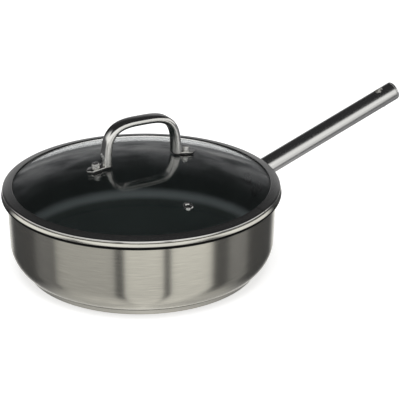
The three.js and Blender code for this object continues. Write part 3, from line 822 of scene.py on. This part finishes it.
def washer(name, bottom, bevel):
    top = bottom + WASHER_SHEET
    return turned(name, [
        (SCREW_HOLE, bottom), (WASHER_RADIUS - bevel, bottom), (WASHER_RADIUS, bottom + bevel),
        (WASHER_RADIUS, top - bevel), (WASHER_RADIUS - bevel, top), (SCREW_HOLE, top),
        (SCREW_HOLE, bottom),
    ], SMALL_ROUND)


silicone = finish("dark_silicone", {"Metallic": 0.0}, silicone_look)
screw_outline = [
    (0, SCREW_END), (SCREW_RADIUS - SCREW_TIP, SCREW_END), (SCREW_RADIUS, SCREW_END + SCREW_TIP),
    (SCREW_RADIUS, HEAD_SEAT), (HEAD_RADIUS - HEAD_BEVEL, HEAD_SEAT),
    (HEAD_RADIUS, HEAD_SEAT + HEAD_BEVEL), (HEAD_RADIUS, HEAD_SIDE_TOP),
    *arc((HEAD_RADIUS - HEAD_ROUND, HEAD_ROUND_HEIGHT), HEAD_ROUND, 0, 82, 6), (0, HEAD_TOP),
]
crown = arc((0, 0), NUT_RADIUS, 0, -90, 10)[:-1]
nut_outline = [
    (0, SCREW_END - SEAT_GAP), (SCREW_HOLE, SCREW_END - SEAT_GAP), (SCREW_HOLE, NUT_TOP),
    (NUT_RADIUS - NUT_BEVEL, NUT_TOP), (NUT_RADIUS, NUT_TOP - NUT_BEVEL),
    *[(r, SCREW_END + z * NUT_CROWN / NUT_RADIUS) for r, z in crown], (0, SCREW_END - NUT_CROWN),
]
for side, spot in screw_spots.items():
    screw = settled(turned(f"lid_screw_fine_{side}", screw_outline, SMALL_ROUND), spot)
    mounted(screw, trim_steel, "trim_steel", "lid", f"lid_screw_{side}")
    pad = settled(plate(f"foot_pad_fine_{side}", SEAT_GAP, PAD_THICK), spot)
    mounted(pad, silicone, "silicone", "lid", f"foot_pad_{side}")
    soft = settled(washer(f"under_washer_fine_{side}", SOFT_BOTTOM, SOFT_BEVEL), spot)
    mounted(soft, silicone, "silicone", "lid", f"under_washer_{side}")
    hard = settled(washer(f"steel_washer_fine_{side}", STEEL_BOTTOM, STEEL_BEVEL), spot)
    mounted(hard, trim_steel, "trim_steel", "lid", f"steel_washer_{side}")
    nut = settled(turned(f"cap_nut_fine_{side}", nut_outline, SMALL_ROUND), spot)
    mounted(nut, trim_steel, "trim_steel", "lid", f"cap_nut_{side}")

# Studio: white paper under soft light. Mirrored rays see bright cards round the pan and dark flags
# behind and above it, as polished steel and clear glass are photographed. Angles are in degrees, and
# the camera is a long lens a little above the lid.
FRONT = math.radians(-116.5)
CARDS = ((-104, -84, 0.12), (-80, -24, 0.40), (-16, 18, 0.68), (24, 62, 0.72), (79, 102, 0.18))
CARD_FADE = 2
BETWEEN_CARDS = 0.08
BACK_BEARING = (146, 162)
BACK_TILT = (-13, -9)
BACK_WHITE = 0.95
BACK_GREY = 0.12
STEEP_TILT = (-58, -38)
STEEP_LEVEL = 0.50
STEEP_SHARE = 0.5
FRONT_PITCH = (45, 53)
SIDE_BEARING = (112, 130)
SIDE_TILT = (26, 36)
OVERHEAD_WHITE = 0.92
FLAG_LEVEL = 0.02
CLOUD_TILT = (4, 34)
CLOUD_LEVEL = 0.26
HORIZON_TILT = (1, 6)
SOFT_LEVEL = 0.5
COOL_TINT = (0.96, 0.96, 1.0, 1)
WARM_TINT = (1.0, 0.995, 0.97, 1)
PAPER_SIZE = 8
PAPER_COLOUR = (0.9, 0.9, 0.9, 1)
PAPER_ROUGHNESS = 0.9
PAPER_GLOW = 0.55
LAMP_PLACE = (-0.25, -0.4, 1.7)
LAMP_SIZE = 1.4
LAMP_POWER = 13
CAMERA_PLACE = (-0.590, -1.1833, 0.6463)
CAMERA_AIM = Vector((0.4468, 0.8005, -0.3994))
CAMERA_ROLL = 0.00573
CAMERA_LENS = 122.2
CAMERA_SENSOR = 36
WHITE = (1, 1, 1, 1)

bpy.ops.mesh.primitive_plane_add(size=PAPER_SIZE)
floor = bpy.context.object
floor.name = "floor"
floor.visible_glossy = False
paper = bpy.data.materials.new("white_paper")
paper.use_nodes = True
shader = paper.node_tree.nodes["Principled BSDF"]
shader.inputs["Base Color"].default_value = PAPER_COLOUR
shader.inputs["Roughness"].default_value = PAPER_ROUGHNESS
shader.inputs["Specular IOR Level"].default_value = 0.0
shader.inputs["Emission Color"].default_value = WHITE
shader.inputs["Emission Strength"].default_value = PAPER_GLOW
floor.data.materials.append(paper)

world = bpy.data.worlds.new("studio")
bpy.context.scene.world = world
world.use_nodes = True
tree = world.node_tree
ray = tree.nodes.new("ShaderNodeLightPath")
sky = Flow(tree)
seen = Flow(tree, ray.outputs["Is Camera Ray"])
for kind in ("Is Glossy Ray", "Is Transmission Ray"):
    seen = seen.math("MAXIMUM", Flow(tree, ray.outputs[kind]))
mirrored = Flow(tree, ray.outputs["Glossy Depth"]).math("MINIMUM", 1.0)
scattered = Flow(tree, ray.outputs["Diffuse Depth"]).math("MINIMUM", 1.0)
toward = sky.node("ShaderNodeTexCoord", None, None, "Generated")
x, y, z = toward.parts()
ahead = x * math.cos(FRONT) + y * math.sin(FRONT)
aside = y * math.cos(FRONT) - x * math.sin(FRONT)
pitch = z.math("ARCTAN2", ahead) * math.degrees(1)
bearing = aside.math("ARCTAN2", ahead) * math.degrees(1)
tilt = z.math("ARCSINE") * math.degrees(1)
turn = bearing.math("ABSOLUTE")
cards = BETWEEN_CARDS + sum(
    bearing.step(left - CARD_FADE, left + CARD_FADE)
    * bearing.step(right - CARD_FADE, right + CARD_FADE, bright, 0.0)
    for left, right, bright in CARDS
)
back = turn.step(*BACK_BEARING)
stands = cards + back * tilt.step(*BACK_TILT, BACK_WHITE, BACK_GREY)
below = stands + tilt.step(*STEEP_TILT, 1.0, 0.0) * (STEEP_LEVEL - stands * STEEP_SHARE)
front = pitch.step(*FRONT_PITCH, 1.0, 0.0)
sides = turn.step(*SIDE_BEARING, 1.0, 0.0) * tilt.step(*SIDE_TILT, 1.0, 0.0)
clouds = sky.noise(toward, 7.0, 4.0, 0.6).step(0.35, 0.65, 0.3, 1.5)
above = (
    FLAG_LEVEL + back * clouds * tilt.step(*CLOUD_TILT, CLOUD_LEVEL, 0.0)
    + front.math("MAXIMUM", sides) * OVERHEAD_WHITE
)
flags = below + tilt.step(*HORIZON_TILT) * (above - below)
backdrop = seen * (1.0 - scattered)
level = backdrop * (1.0 - mirrored * (1.0 - flags)) + (1.0 - backdrop) * SOFT_LEVEL
tint = flags.step(0.05, 0.6).mix(COOL_TINT, WARM_TINT)
background = tree.nodes["Background"]
tree.links.new(level.socket, background.inputs["Strength"])
tree.links.new((backdrop * mirrored).mix(WHITE, tint).socket, background.inputs["Color"])

bpy.ops.object.light_add(type="AREA", location=LAMP_PLACE)
lamp = bpy.context.object
lamp.data.shape = "DISK"
lamp.data.size = LAMP_SIZE
lamp.data.energy = LAMP_POWER
lamp.rotation_euler = lamp.location.to_track_quat("Z", "Y").to_euler()
lamp.visible_glossy = False
lamp.visible_transmission = False

bpy.ops.object.camera_add(location=CAMERA_PLACE)
camera = bpy.context.object
camera.data.lens = CAMERA_LENS
camera.data.sensor_width = CAMERA_SENSOR
camera.rotation_euler = CAMERA_AIM.to_track_quat("-Z", "Y").to_euler()
camera.rotation_euler.rotate_axis("Z", CAMERA_ROLL)
bpy.context.scene.camera = camera
bpy.context.scene.view_settings.view_transform = "Standard"
